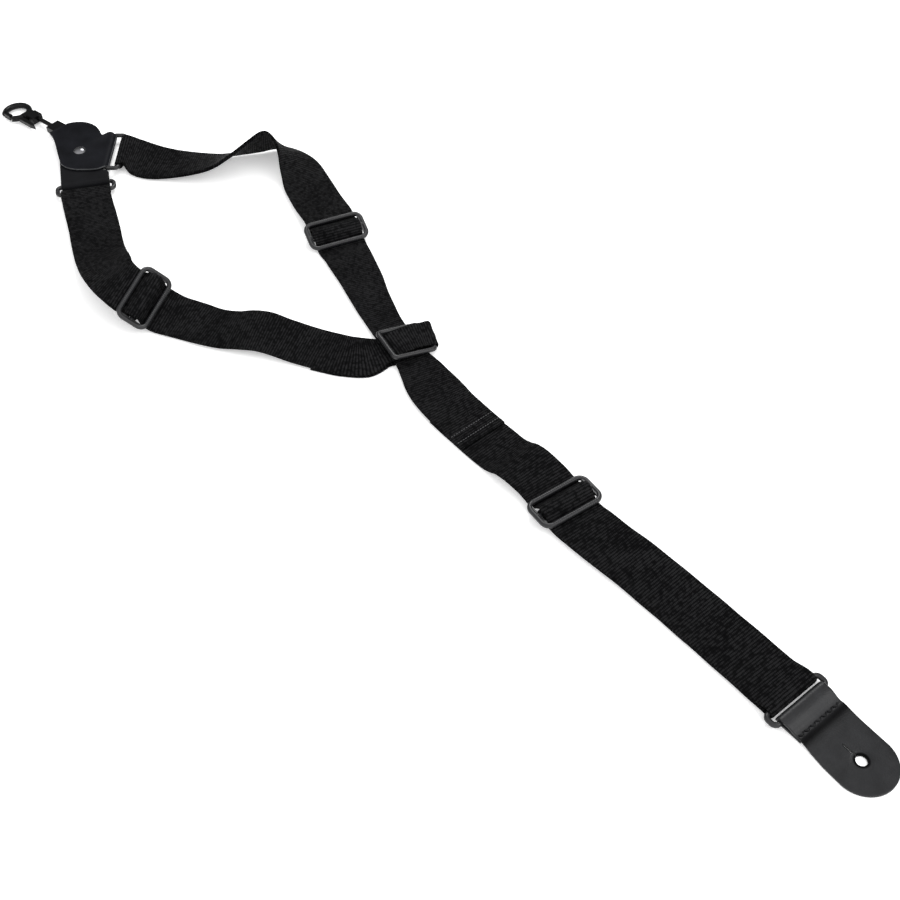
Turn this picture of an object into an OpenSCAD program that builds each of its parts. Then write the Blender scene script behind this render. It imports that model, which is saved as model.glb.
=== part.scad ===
// Saxophone strap: a webbing neck loop with a leather hub and swivel snap hook, and a tail
// with a leather end tab. It lies on a surface: length along X from the hook to the tab,
// Z up, origin under the middle of its bounding box.

/* [Webbing] */
// Width of the webbing
webbing_w = 50; // [46:1:50]
// Thickness of the webbing
webbing_t = 1.8; // [1.2:0.1:1.8]

/* [Hardware] */
// Bar diameter of the plain rings
ring_bar = 4.5; // [4:0.1:4.5]
// Bar diameter of the three-bar slides
slide_bar = 4.6; // [4:0.1:4.6]
// Width of the slides along the webbing
slide_w = 33; // [32:0.5:36]
// Outer diameter of the hook ring
hook_d = 33; // [31:1:35]

/* [Leather] */
// Thickness of the leather
leather_t = 2.2; // [1.6:0.1:2.2]
// Diameter of the strap button hole
button_hole_d = 9; // [8:0.5:11]
// Length of the slit beside the hole
button_slit = 13; // [8:1:15]

/* [Hidden] */
$fn = 48;

// The layout is measured from the hook; this moves it over the middle of its box.
shift = [-565.8, -41.6, 0];
gap = 0.25;               // air between neighbouring layers
layer = webbing_t + gap;  // pitch of two webbing layers
wrap_r = ring_bar / 2 + gap + webbing_t / 2;     // webbing centre line round a ring bar
wrap_l = ring_bar / 2 + gap + leather_t / 2;     // leather centre line round a ring bar
under = slide_bar / 2 + gap + webbing_t / 2;     // webbing centre line below a slide bar
slide_len = 62;
slide_corner = 7;
slide_plate = 2.6;        // thickness of the slide's filled ends
slide_window = 51.2;      // open length of the slide's windows
slide_pitch = (slide_w - slide_bar) / 2;         // centre bar to outer bar

// Places of the hard pieces: [position, heading, pitch, tilt]
RIGHT = [[149, 44.1, 7.5], 46, 0, 0];
LOWER = [[177, -12.7, 5.2], -31, 0, 0];
SIDE = [[373.5, -76, 20.5], 31.5, -34, -14];
UPPER = [[415.3, 124.3, 10], -21.2, -18, 0];
JOINT = [[578, 68, 9], -15.5, 0, 11];
TAIL = [[807.4, 32, 9.2], -10, 0, 0];
END = [[1050, 18.4, 4.9], -5, 0, 0];
HOOK = [[62, 22, 6.8], 186, -2.5, 0];
RIVET = [127, 15];
ring_len = 62;
hub_ring_w = 18.5;
lower_ring_w = 17;
end_ring_w = 15;

// ---------- placing ----------
module place(at) translate(at[0]) rotate([-at[3], -at[2], at[1]]) children();

function rz(a, v) = [v.x * cos(a) - v.y * sin(a), v.x * sin(a) + v.y * cos(a), v.z];
function ry(a, v) = [v.x * cos(a) + v.z * sin(a), v.y, -v.x * sin(a) + v.z * cos(a)];
function rx(a, v) = [v.x, v.y * cos(a) - v.z * sin(a), v.y * sin(a) + v.z * cos(a)];
function turn(at, v) = rz(at[1], ry(-at[2], rx(-at[3], v)));

// ---------- webbing ----------
// A station is [centre, right-hand vector, up vector, width factor].
function right_of(h, tilt) = [sin(h) * cos(tilt), -cos(h) * cos(tilt), sin(tilt)];

// Catmull-Rom value between rows b and c
function blend4(a, b, c, d, u) =
    0.5 * (2 * b + (c - a) * u + (2 * a - 5 * b + 4 * c - d) * u * u
           + (3 * b - a - 3 * c + d) * u * u * u);

// Dense rows from control rows [x, y, z, heading, tilt, width factor]
function dense(rows, n) = [
    for (i = [0 : len(rows) - 2], k = [0 : n - 1])
        blend4(rows[max(i - 1, 0)], rows[i], rows[i + 1], rows[min(i + 2, len(rows) - 1)], k / n),
    rows[len(rows) - 1]
];

function unit(v) = v / norm(v);

// Stations of a strip that lies along rows
function lay(rows, n = 4) =
    let (d = dense(rows, n), m = len(d))
    [for (i = [0 : m - 1])
        let (a = d[max(i - 1, 0)], b = d[min(i + 1, m - 1)],
             t = [b[0] - a[0], b[1] - a[1], b[2] - a[2]],
             r = right_of(d[i][3], d[i][4]))
        [[d[i][0], d[i][1], d[i][2]], r, unit(cross(r, t)), d[i][5]]];

// The same strip one or more layers lower
function lower_by(path, k) = [for (s = path) [s[0] - s[2] * k, s[1], s[2], s[3]]];
function backwards(path) = [for (i = [len(path) - 1 : -1 : 0]) path[i]];

// Stations on a profile [along, up] in a hard piece's own frame
function profile(at, pts, wf = 1) = [
    for (p = pts) [at[0] + turn(at, [p[0], 0, p[1]]), turn(at, [0, -1, 0]), turn(at, [0, 0, 1]), wf]
];

// Arc points of radius r about (cx, cz) from angle a to angle b
function arc(cx, cz, r, a, b, n = 8) = [
    for (k = [0 : n]) let (q = a + (b - a) * k / n) [cx + r * cos(q), cz + r * sin(q)]
];

// One strip of webbing through its stations
module strip(path, w = webbing_w, t = webbing_t) {
    m = len(path);
    pts = [for (i = [0 : m - 1])
        let (a = path[max(i - 1, 0)], b = path[min(i + 1, m - 1)], s = path[i],
             n = unit(cross(s[1], b[0] - a[0])) * t / 2, c = s[1] * s[3] * w / 2)
        each [s[0] - c - n, s[0] + c - n, s[0] + c + n, s[0] - c + n]];
    sides = [for (i = [0 : m - 2], k = [0 : 3])
        let (p = 4 * i + k, q = 4 * i + (k + 1) % 4)
        each [[p, q, q + 4], [p, q + 4, p + 4]]];
    e = 4 * (m - 1);
    polyhedron(pts, concat(sides, [[0, 3, 2], [0, 2, 1], [e, e + 1, e + 2], [e, e + 2, e + 3]]),
               convexity = 8);
}

// Running webbing through a slide: under, over the centre bar, under again
function through(s) = let (u = under, p = slide_pitch) [
    [-p - s, -u], [-p, -u], [-p + 3.4, -u + 0.8], [-p + 5.6, 0], [-4.6, u + 0.6],
    [-2.6, u + layer], [0, u + layer + 0.4], [2.6, u + layer], [4.6, u + 0.6],
    [p - 5.6, 0], [p - 3.4, -u + 0.8], [p, -u], [p + s, -u]];

// Sewn end: comes in one layer lower, wraps the centre bar and returns onto itself
function anchor(s) = let (u = under, p = slide_pitch) concat(
    [[p + s, -u - layer], [p, -u - layer], [7, -u - layer], [5, -u - 0.6]],
    arc(0, 0, u, -28, 200, 9),
    [[-2.6, -u - 0.5], [0, -u - layer]]);

// ---------- control rows of the webbing ----------
LONG_A = [  // right ring to the upper slide
    [160, 53.8, 9.8, 43, -1, 0.95], [173, 56, 7.2, 36, -6, 1], [190, 64, 6, 33, -4, 1],
    [209, 79, 5.6, 36, 4, 1], [237, 102, 11.2, 47, 18, 1], [249, 120, 16.6, 54, 33, 1],
    [256, 139, 21.1, 60, 48, 1], [262, 154.5, 24, 60, 57, 1], [270, 164.5, 22.6, 48, 50, 1],
    [286, 169.5, 16.6, 28, 33, 1], [307, 166, 9.6, 4, 14, 1], [331, 156.5, 6.5, -14, 3, 1],
    [354, 147.5, 6.6, -19, 0, 1], [378, 138.7, 9.4, -21, 0, 1]];
LONG_B = [  // upper slide to the lap seam
    [446, 112.5, 3, -22, 0, 0.93], [466, 104.8, 3, -23, 0, 0.89], [482, 98.5, 3, -25, 0, 0.84],
    [504, 88.5, 3, -25, 0, 0.77], [529, 78.5, 3, -22, 0, 0.7], [551, 70.8, 3, -18, 0, 0.66],
    [578, 63.5, 3, -15, 0, 0.64], [595, 59.8, 3, -16, 0, 0.68], [610, 56, 3, -18, 0, 0.81],
    [626, 51, 3, -18, 0, 0.93], [645, 46.3, 3, -13, 0, 1], [668, 42.5, 3, -8, 0, 1],
    [706, 39.5, 3, -4, 0, 1]];
SIDE_A = [  // lower ring to the side slide
    [192, -21.8, 8, -31, 0, 1], [208, -29.5, 7.4, -28, 0, 1], [226, -37.8, 8.4, -26, 0, 1],
    [244, -46.5, 8, -27, 0, 1], [261, -55.3, 8.4, -27, 0, 1], [279, -63.8, 11.5, -26, -2, 1],
    [300, -72.7, 19.5, -18, -6, 1], [319, -79.3, 26.5, -6, -10, 1],
    [338, -84, 30.2, 12, -13, 1]];
SIDE_B = [  // side slide to the joint
    [401, -60, 3.8, 28, -4, 1], [415, -53, 3, 24, -3, 1], [431, -46, 3, 24, 0, 1],
    [448, -37.5, 5, 29, -2, 1], [463, -28.5, 9, 32, -4, 1], [478, -19, 10.5, 31, -3, 1],
    [494, -9.5, 7, 29, 0, 1], [512, 0.5, 3.6, 28, 0, 1], [534, 11.5, 3, 29, 0, 1],
    [550, 20.5, 3.2, 38, 0, 1], [563, 31.5, 4.4, 57, 0, 0.96], [570, 45, 6.6, 71, 0, 0.66]];
TAIL_A = [  // lap seam to the tail slide
    [664, 43, 0.95, -8, 0, 1], [700, 40, 1, -4, 0, 1], [716, 39.2, 1.05, -3, 0, 1],
    [731, 38.4, 1.6, -3, 0, 1], [740, 38, 4.4, -3, 0, 1], [748, 37.7, 8.3, -3, 0, 1],
    [760, 37.4, 9.6, -4, 0, 1], [776, 37, 7.6, -7, 0, 1]];
TAIL_B = [  // tail slide to the end ring
    [840, 28.4, 5.8, -7, 0, 1], [858, 28, 5.6, -4, 0, 1], [886, 28.6, 5, -3, 0, 1],
    [924, 27.8, 3.5, -3, 0, 1], [960, 25.6, 3.5, -4, 0, 1], [996, 22.8, 4, -5, 0, 1],
    [1024, 20.5, 4.2, -6, 0, 1]];

SIDE_R = [  // the loop's end, back under the side strap
    [526, 7, 0.95, 29, 0, 1], [538, 13.5, 0.95, 31, 0, 1], [550, 20.5, 0.95, 38, 0, 1],
    [563, 31.5, 0.95, 57, 0, 0.96], [570, 45, 0.95, 71, 0, 0.66]];

end_off = (end_ring_w - ring_bar) / 2;
hub_off = (hub_ring_w - ring_bar) / 2;
lower_off = (lower_ring_w - ring_bar) / 2;

function ring_wrap(at, off, side) = profile(at,
    arc(side * off, 0, wrap_r, 90, 90 + side * 200, 9));

// Gathered webbing across the joint ring: over the long strap, round the far bar and back
// below. Points are [across, height, skew]: the loop's end stands askew to the bar.
joint_w = 41;
joint_len = 47;
band_w = 0.62;
function joint_band() =
    let (far = (joint_len - ring_bar) / 2, h = JOINT[0].z - far * sin(JOINT[3]), slack = 3.6,
         skew = -13,
         pts = concat([[-19, 7, 0], [-16.5, 8.6, 0], [-13, 10.2, 0], [-8, 11.4, -2],
                       [-2, 11.9, -4], [5, 11.7, -7], [12, 11, -10], [18, h + wrap_r + 0.9, skew]],
                      [for (q = arc(far + slack, h, wrap_r, 90, -90, 8)) [q[0], q[1], skew]],
                      [[19, h - wrap_r, -11], [14, 0.95, -8], [-4, 0.95, -3], [-20, 0.95, 0]]))
    [for (p = pts)
        [[JOINT[0].x, JOINT[0].y, 0] + turn([0, JOINT[1], 0, 0], [0, p[0], p[1]]),
         turn([0, JOINT[1] + p[2], 0, 0], [1, 0, 0]), [0, 0, 1], band_w]];

// The strips as built: running layer, turn round the ring bar, return layer, sewn end
function long_path() = concat(
    backwards(profile(UPPER, [for (q = anchor(2)) [-q[0], q[1]]])),
    backwards(lower_by(lay(LONG_A, 4), layer)),
    backwards(ring_wrap(RIGHT, hub_off, 1)),
    lay(LONG_A, 4),
    profile(UPPER, through(2), 0.95),
    lay(LONG_B, 3));

function side_path() = concat(
    backwards(profile(SIDE, [for (q = anchor(2)) [-q[0], q[1]]])),
    backwards(lower_by(lay(SIDE_A, 4), layer)),
    backwards(ring_wrap(LOWER, lower_off, 1)),
    lay(SIDE_A, 4),
    profile(SIDE, through(2), 0.95),
    lay(SIDE_B, 4),
    joint_band(),
    backwards(lay(SIDE_R, 3)));

function tail_path() = concat(
    lay(TAIL_A, 4),
    profile(TAIL, through(2), 0.95),
    lay(TAIL_B, 4),
    ring_wrap(END, end_off, -1),
    backwards(lower_by(lay(TAIL_B, 4), layer)),
    profile(TAIL, anchor(2)));

module long_strap() color("#1c1c1f") strip(long_path());
module side_strap() color("#1c1c1f") strip(side_path());
module tail_strap() color("#1c1c1f") strip(tail_path());

// ---------- rings and slides ----------
// Round bar frame: len across the webbing, wid along it
module bar_frame(len, wid, d, rc) {
    hx = (wid - d) / 2;
    hy = (len - d) / 2;
    for (s = [-1, 1]) {
        translate([s * hx, 0, 0]) rotate([90, 0, 0])
            cylinder(d = d, h = 2 * (hy - rc), center = true);
        translate([0, s * hy, 0]) rotate([0, 90, 0])
            cylinder(d = d, h = 2 * (hx - rc), center = true);
        for (q = [0, 1])
            mirror([s > 0 ? 0 : 1, 0, 0]) mirror([0, q, 0]) translate([hx - rc, hy - rc, 0])
                rotate_extrude(angle = 90) translate([rc, 0]) circle(d = d);
    }
}

// Three-bar slide: round bars, and thin plates that fill its rounded ends
module slide_frame() {
    bar_frame(slide_len, slide_w, slide_bar, slide_corner);
    rotate([90, 0, 0]) cylinder(d = slide_bar - 0.4, h = slide_len - slide_bar, center = true);
    linear_extrude(slide_plate, center = true) difference() {
        round_rect(slide_len - slide_bar, slide_w - slide_bar, slide_corner);
        square([slide_w, slide_window], center = true);
    }
}

module round_rect(len, wid, r) {
    square([wid, len - 2 * r], center = true);
    square([wid - 2 * r, len], center = true);
    for (sx = [-1, 1], sy = [-1, 1])
        translate([sx * (wid / 2 - r), sy * (len / 2 - r)]) circle(r = r);
}

module slide_upper() color("#2b2b2e") place(UPPER) slide_frame();
module slide_side() color("#2b2b2e") place(SIDE) slide_frame();
module slide_tail() color("#2b2b2e") place(TAIL) slide_frame();
module joint_ring() color("#2b2b2e") place(JOINT)
    bar_frame(joint_len, joint_w, ring_bar, 3.5);
module ring_right() color("#2b2b2e") place(RIGHT) bar_frame(ring_len, hub_ring_w, ring_bar, 4);
module ring_lower() color("#2b2b2e") place(LOWER) bar_frame(ring_len, lower_ring_w, ring_bar, 4);
module end_ring() color("#2b2b2e") place(END) bar_frame(ring_len, end_ring_w, ring_bar, 4);

// ---------- leather ----------
leather_w = 51;
flap = 21;        // sewn-back length under a ring

// Leather turned round a ring bar at x = off, on the ring's inner side
module leather_loop(off, w) {
    translate([off, 0, 0]) rotate([90, 0, 0]) rotate([0, 0, -90])
        rotate_extrude(angle = 180) translate([wrap_l, 0]) square([leather_t, w], center = true);
    translate([off - flap, -w / 2, -wrap_l - leather_t / 2]) cube([flap, w, leather_t]);
}

// Hub plate: a rounded lobe towards the hook and a strip to the right ring
module hub_leather_top() color("#26272b") {
    z = RIGHT[0].z + wrap_l - leather_t / 2;
    difference() {
        union() {
            place(RIGHT) leather_loop(-hub_off, leather_w);
            translate([0, 0, z]) linear_extrude(leather_t) hub_outline();
        }
        translate([RIVET.x, RIVET.y, z - 1]) cylinder(d = 4.2, h = leather_t + 2);
    }
}

module hub_outline() {
    translate([95, 33]) circle(d = 35);
    polygon([[76.5, 25], [77.5, 9.5], [95, 4], [128, -12], [136, -13], [150, -6.5], [166, 9],
             [130, 52], [120, 44.5], [111, 49], [95, 49], [79, 37]]);
    flat_place(RIGHT) translate([-hub_off - 20, -leather_w / 2 + 1])
        square([20, leather_w - 2]);
}

// Lower strip, under the plate and round the lower ring
module hub_leather_lower() color("#232428") difference() {
    intersection() {
        place(LOWER) translate([-lower_off, 0, 0]) rotate([90, 0, 0])
            linear_extrude(60, center = true) polygon(sheet_outline(concat(
                [[-flap, -wrap_l], [-flap / 2, -wrap_l]], arc(0, 0, wrap_l, -90, 90, 16),
                [[-40, wrap_l], [-100, wrap_l]]), leather_t));
        linear_extrude(12) hub_strip_outline();
    }
    translate([RIVET.x, RIVET.y, 4]) cylinder(d = 4.2, h = 8);
}

// The strip is notched where the right ring lies across its edge
module hub_strip_outline() difference() {
    flat_place(LOWER) translate([-lower_off, 0]) {
        translate([-72, 1 - leather_w / 2]) square([80, leather_w - 2]);
        translate([-72, 0]) circle(d = leather_w - 15);
    }
    flat_place(RIGHT) translate([-hub_off - 4.2, -ring_len / 2 - 0.7])
        square([hub_ring_w + 3, ring_len]);
}

module flat_place(at) translate([at[0].x, at[0].y]) rotate(at[1]) children();

// Offset outline of a bent sheet from its middle line
function sheet_outline(path, t) =
    let (m = len(path),
         n = [for (i = [0 : m - 1])
             let (d = path[min(i + 1, m - 1)] - path[max(i - 1, 0)]) [-d.y, d.x] / norm(d) * t / 2])
    concat([for (i = [0 : m - 1]) path[i] + n[i]], [for (i = [m - 1 : -1 : 0]) path[i] - n[i]]);

tab_r = 25.5;     // tip radius
tab_c = 58.5;     // tip centre from the ring bar
tab_hole_x = 56;
tab_low = leather_t / 2 - END[0].z;   // middle line of the flat part

module tab_outline() {
    polygon([[-6, -24.5], [4, -24.2], [17, -22.2], [25, -22.6], [42, -24.8], [tab_c, -tab_r],
             [tab_c, tab_r], [42, 26], [30, 26.3], [10, 25.5], [-6, 24.5]]);
    translate([tab_c, 0]) circle(r = tab_r, $fn = 96);
}

// End tab: folded round the end ring's outer bar, sewn, pressed down flat beyond the seam
module end_tab() color("#303238") place(END) translate([end_off, 0, 0]) difference() {
    intersection() {
        translate([0, 0, -10]) linear_extrude(20) tab_outline();
        rotate([90, 0, 0]) linear_extrude(80, center = true) polygon(sheet_outline(concat(
            [[19, -wrap_l], [10, -wrap_l], [4, -wrap_l]],
            arc(0, 0, wrap_l, 270, 90, 12),
            [[3, wrap_l - 0.3], [6, 2.6], [9, 1.2], [12, -0.5], [14.4, -1.2], [17, -1.1],
             [21, -1.6], [26, -2.8], [31, tab_low + 0.2], [36, tab_low], [90, tab_low]]),
            leather_t));
    }
    translate([tab_hole_x, 0, -10]) cylinder(d = button_hole_d, h = 20);
    translate([tab_hole_x - button_hole_d / 2 - button_slit, -0.4, -10])
        cube([button_slit + 2, 0.8, 20]);
}

// ---------- rivet ----------
module hub_rivet() color("#2c2c30") translate([RIVET.x, RIVET.y, 0]) {
    top = RIGHT[0].z + wrap_l + leather_t / 2 + 0.05;
    intersection() {
        translate([0, 0, top - 6.6]) sphere(d = 19);
        translate([0, 0, top]) cylinder(d = 24, h = 6);
    }
    translate([0, 0, 3.2]) cylinder(d = 4, h = top - 3.2);
}

module rivet_cap() color("#2c2c30") translate([RIVET.x, RIVET.y, 3.6]) difference() {
    cylinder(d = 10, h = 1.3);
    translate([0, 0, -1]) cylinder(d = 4.05, h = 4);
}

// ---------- swivel snap hook ----------
ring_x = 54;                    // hook ring centre from the base's face
ring_y = 6.4;                   // and to the side of the swivel axis
ring_t = 6.6;
ring_r = (hook_d - ring_t) / 2;
pin_angle = 126;
gate_x = ring_x + ring_r * cos(pin_angle);
gate_y = ring_y + ring_r * sin(pin_angle);
post_end = 31.9;

// Bearing block with a flat plate that runs under the leather to the rivet
module swivel_base() color("#1b1b1d") {
    place(HOOK) difference() {
        translate([-13, -8, -3.4]) cube([13, 16, 6.7]);
        translate([-6.5, 0, 0]) rotate([0, 90, 0]) cylinder(d = 5.2, h = 8);
        translate([-11.2, 0, 0]) rotate([0, 90, 0]) cylinder(d = 6.2, h = 5);
    }
    translate([0, 0, 5.1]) linear_extrude(2.3) difference() {
        union() {
            polygon([[74, 16.5], [74.5, 30], [127, 22.5], [127, 7.5], [118, 8.2]]);
            translate(RIVET) circle(d = 15);
        }
        translate(RIVET) circle(d = 4.2);
    }
}

module swivel_post() color("#141415") place(HOOK) rotate([0, 90, 0]) {
    translate([0, 0, -10.6]) cylinder(d = 5.8, h = 3.6);
    translate([0, 0, -8]) cylinder(d = 4.8, h = 8 + post_end);
}

// Ring with a gap for the gate, a body on the post and a spur back along the post
module hook_body() color("#111113") place(HOOK) difference() {
    union() {
        translate([24, -5, -3.9]) cube([12, 12.5, 7.8]);
        translate([34, -4, -3.3]) cube([8.5, 13.5, 6.6]);
        translate([0, 0, -2]) linear_extrude(4)
            polygon([[12, 13.8], [20, 10.8], [42, 9.8], [44, 15], [20, 15.2]]);
        translate([ring_x, ring_y, 0]) rotate([0, 0, 118])
            rotate_extrude(angle = 296) translate([ring_r, 0]) circle(d = ring_t);
    }
    translate([23, 0, 0]) rotate([0, 90, 0]) cylinder(d = 4.9, h = post_end - 23 + 0.15);
    translate([gate_x - 3.4, gate_y - 5, -1.9]) cube([12, 12, 3.8]);
    translate([gate_x, gate_y, -6]) cylinder(d = 2.05, h = 12);
    translate([ring_x - 3.2, ring_y + 2, -6]) cube([9.6, 20, 12]);
}

module hook_gate() color("#151517") place(HOOK) difference() {
    union() {
        translate([gate_x, gate_y, -1.2]) cylinder(d = 5, h = 2.4);
        translate([gate_x, gate_y - 2, -1.2]) cube([ring_x + 5.6 - gate_x, 4, 2.4]);
        translate([gate_x + 4, gate_y - 2, -2.6]) cube([ring_x + 1.6 - gate_x, 4.4, 5.2]);
    }
    translate([gate_x, gate_y, -6]) cylinder(d = 2.15, h = 12);
}

module gate_pin() color("#8a8a8c") place(HOOK)
    translate([gate_x, gate_y, -2.9]) cylinder(d = 2, h = 5.8);

module gate_spring() color("#9a9a9c") place(HOOK)
    for (s = [-1, 1]) translate([gate_x, gate_y, s * 1.55])
        rotate_extrude() translate([1.7, 0]) circle(d = 0.5, $fn = 16);

// ---------- seams ----------
module stitch_row(n, pitch, long, wide, slant)
    for (k = [0 : n - 1]) translate([0, (k - (n - 1) / 2) * pitch, 0]) rotate([0, 0, slant])
        cube([long, wide, 0.5], center = true);

module seam_tab() color("#101012") place(END) translate([end_off + 16, 0.6, 0.25])
    stitch_row(14, 3.1, 2.6, 0.9, 28);

module seam_tail() color("#101012") for (s = [0, 1])
    place([[690 + 9 * s, 40.9 - 0.7 * s, 3 + webbing_t / 2 + 0.3], -4, 0, 0])
        stitch_row(17, 2.8, 0.8, 2, 0);

translate(shift) hook_body();
translate(shift) hook_gate();
translate(shift) gate_pin();
translate(shift) gate_spring();
translate(shift) swivel_post();
translate(shift) swivel_base();
translate(shift) hub_leather_top();
translate(shift) hub_leather_lower();
translate(shift) hub_rivet();
translate(shift) rivet_cap();
translate(shift) ring_right();
translate(shift) ring_lower();
translate(shift) long_strap();
translate(shift) side_strap();
translate(shift) tail_strap();
translate(shift) slide_upper();
translate(shift) slide_side();
translate(shift) slide_tail();
translate(shift) joint_ring();
translate(shift) end_ring();
translate(shift) end_tab();
translate(shift) seam_tab();
translate(shift) seam_tail();
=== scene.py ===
import math
import random
import bmesh
import bpy
import numpy as np
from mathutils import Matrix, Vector


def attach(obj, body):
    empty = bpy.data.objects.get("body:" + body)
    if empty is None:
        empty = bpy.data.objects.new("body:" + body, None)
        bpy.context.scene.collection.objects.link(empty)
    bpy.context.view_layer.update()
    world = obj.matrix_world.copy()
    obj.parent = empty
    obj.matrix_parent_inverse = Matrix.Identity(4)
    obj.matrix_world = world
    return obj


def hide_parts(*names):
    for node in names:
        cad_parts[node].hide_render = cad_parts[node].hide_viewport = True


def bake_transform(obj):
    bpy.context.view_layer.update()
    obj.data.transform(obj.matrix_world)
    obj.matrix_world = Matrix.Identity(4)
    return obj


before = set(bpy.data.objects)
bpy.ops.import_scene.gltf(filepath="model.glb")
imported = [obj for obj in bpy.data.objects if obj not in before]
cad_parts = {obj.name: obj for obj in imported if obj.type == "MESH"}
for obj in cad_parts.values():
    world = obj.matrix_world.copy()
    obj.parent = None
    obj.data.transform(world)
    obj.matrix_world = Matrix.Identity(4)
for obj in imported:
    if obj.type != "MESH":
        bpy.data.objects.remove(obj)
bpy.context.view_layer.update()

MM = 0.001
SHIFT = np.array([-565.8, -41.6, 0.0])     # from the laid-out frame to the model's, in mm

# ---------- camera ----------
camera_data = bpy.data.cameras.new("camera")
camera_data.lens = 52.0
camera_data.clip_start = 0.05
camera_data.clip_end = 20
camera = bpy.data.objects.new("camera", camera_data)
bpy.context.scene.collection.objects.link(camera)
camera.location = (0.6555, -0.5455, 0.8453)
look = Vector((0.1297, -0.0323, 0.0)) - camera.location
camera.rotation_euler = look.to_track_quat("-Z", "Y").to_euler()
bpy.context.scene.camera = camera

# ---------- sizes, in mm ----------
WEB_W, WEB_T = 50.0, 1.8
RING_BAR, SLIDE_BAR, SLIDE_W = 4.5, 4.6, 33.0
LEATHER_T = 2.2
GAP = 0.25
LAYER = WEB_T + GAP
WRAP = RING_BAR / 2 + GAP + WEB_T / 2
WRAP_L = RING_BAR / 2 + GAP + LEATHER_T / 2
UNDER = SLIDE_BAR / 2 + GAP + WEB_T / 2
PITCH = (SLIDE_W - SLIDE_BAR) / 2
SLIDE_LEN, SLIDE_CORNER = 62.0, 7.0
JOINT_LEN, BAND_W = 47.0, 0.62

# places of the hard pieces: position, heading, pitch, tilt
RIGHT = ((149, 44.1, 7.5), 46, 0, 0)
LOWER = ((177, -12.7, 5.2), -31, 0, 0)
SIDE = ((373.5, -76, 20.5), 31.5, -34, -14)
UPPER = ((415.3, 124.3, 10), -21.2, -18, 0)
JOINT = ((578, 68, 9), -15.5, 0, 11)
TAIL = ((807.4, 32, 9.2), -10, 0, 0)
END = ((1050, 18.4, 4.9), -5, 0, 0)
HOOK = ((62, 22, 6.8), 186, -2.5, 0)
RIVET = (127.0, 15.0)
HUB_OFF, LOWER_OFF, END_OFF = 7.0, 6.25, 5.25

# webbing rows: x, y, z, heading, tilt, width factor
LONG_A = [
    [160, 53.8, 9.8, 43, -1, 0.95], [173, 56, 7.2, 36, -6, 1], [190, 64, 6, 33, -4, 1],
    [209, 79, 5.6, 36, 4, 1], [237, 102, 11.2, 47, 18, 1], [249, 120, 16.6, 54, 33, 1],
    [256, 139, 21.1, 60, 48, 1], [262, 154.5, 24, 60, 57, 1], [270, 164.5, 22.6, 48, 50, 1],
    [286, 169.5, 16.6, 28, 33, 1], [307, 166, 9.6, 4, 14, 1], [331, 156.5, 6.5, -14, 3, 1],
    [354, 147.5, 6.6, -19, 0, 1], [378, 138.7, 9.4, -21, 0, 1]]
LONG_B = [
    [446, 112.5, 3, -22, 0, 0.93], [466, 104.8, 3, -23, 0, 0.89], [482, 98.5, 3, -25, 0, 0.84],
    [504, 88.5, 3, -25, 0, 0.77], [529, 78.5, 3, -22, 0, 0.7], [551, 70.8, 3, -18, 0, 0.66],
    [578, 63.5, 3, -15, 0, 0.64], [595, 59.8, 3, -16, 0, 0.68], [610, 56, 3, -18, 0, 0.81],
    [626, 51, 3, -18, 0, 0.93], [645, 46.3, 3, -13, 0, 1], [668, 42.5, 3, -8, 0, 1],
    [706, 39.5, 3, -4, 0, 1]]
SIDE_A = [
    [192, -21.8, 8, -31, 0, 1], [208, -29.5, 7.4, -28, 0, 1], [226, -37.8, 8.4, -26, 0, 1],
    [244, -46.5, 8, -27, 0, 1], [261, -55.3, 8.4, -27, 0, 1], [279, -63.8, 11.5, -26, -2, 1],
    [300, -72.7, 19.5, -18, -6, 1], [319, -79.3, 26.5, -6, -10, 1],
    [338, -84, 30.2, 12, -13, 1]]
SIDE_B = [
    [401, -60, 3.8, 28, -4, 1], [415, -53, 3, 24, -3, 1], [431, -46, 3, 24, 0, 1],
    [448, -37.5, 5, 29, -2, 1], [463, -28.5, 9, 32, -4, 1], [478, -19, 10.5, 31, -3, 1],
    [494, -9.5, 7, 29, 0, 1], [512, 0.5, 3.6, 28, 0, 1], [534, 11.5, 3, 29, 0, 1],
    [550, 20.5, 3.2, 38, 0, 1], [563, 31.5, 4.4, 57, 0, 0.96], [570, 45, 6.6, 71, 0, 0.66]]
SIDE_R = [
    [526, 7, 0.95, 29, 0, 1], [538, 13.5, 0.95, 31, 0, 1], [550, 20.5, 0.95, 38, 0, 1],
    [563, 31.5, 0.95, 57, 0, 0.96], [570, 45, 0.95, 71, 0, 0.66]]
TAIL_A = [
    [664, 43, 0.95, -8, 0, 1], [700, 40, 1, -4, 0, 1], [716, 39.2, 1.05, -3, 0, 1],
    [731, 38.4, 1.6, -3, 0, 1], [740, 38, 4.4, -3, 0, 1], [748, 37.7, 8.3, -3, 0, 1],
    [760, 37.4, 9.6, -4, 0, 1], [776, 37, 7.6, -7, 0, 1]]
TAIL_B = [
    [840, 28.4, 5.8, -7, 0, 1], [858, 28, 5.6, -4, 0, 1], [886, 28.6, 5, -3, 0, 1],
    [924, 27.8, 3.5, -3, 0, 1], [960, 25.6, 3.5, -4, 0, 1], [996, 22.8, 4, -5, 0, 1],
    [1024, 20.5, 4.2, -6, 0, 1]]


# ---------- placing ----------
def rot_z(a, v):
    c, s = math.cos(math.radians(a)), math.sin(math.radians(a))
    return np.array([v[0] * c - v[1] * s, v[0] * s + v[1] * c, v[2]])


def rot_y(a, v):
    c, s = math.cos(math.radians(a)), math.sin(math.radians(a))
    return np.array([v[0] * c + v[2] * s, v[1], -v[0] * s + v[2] * c])


def rot_x(a, v):
    c, s = math.cos(math.radians(a)), math.sin(math.radians(a))
    return np.array([v[0], v[1] * c - v[2] * s, v[1] * s + v[2] * c])


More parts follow.
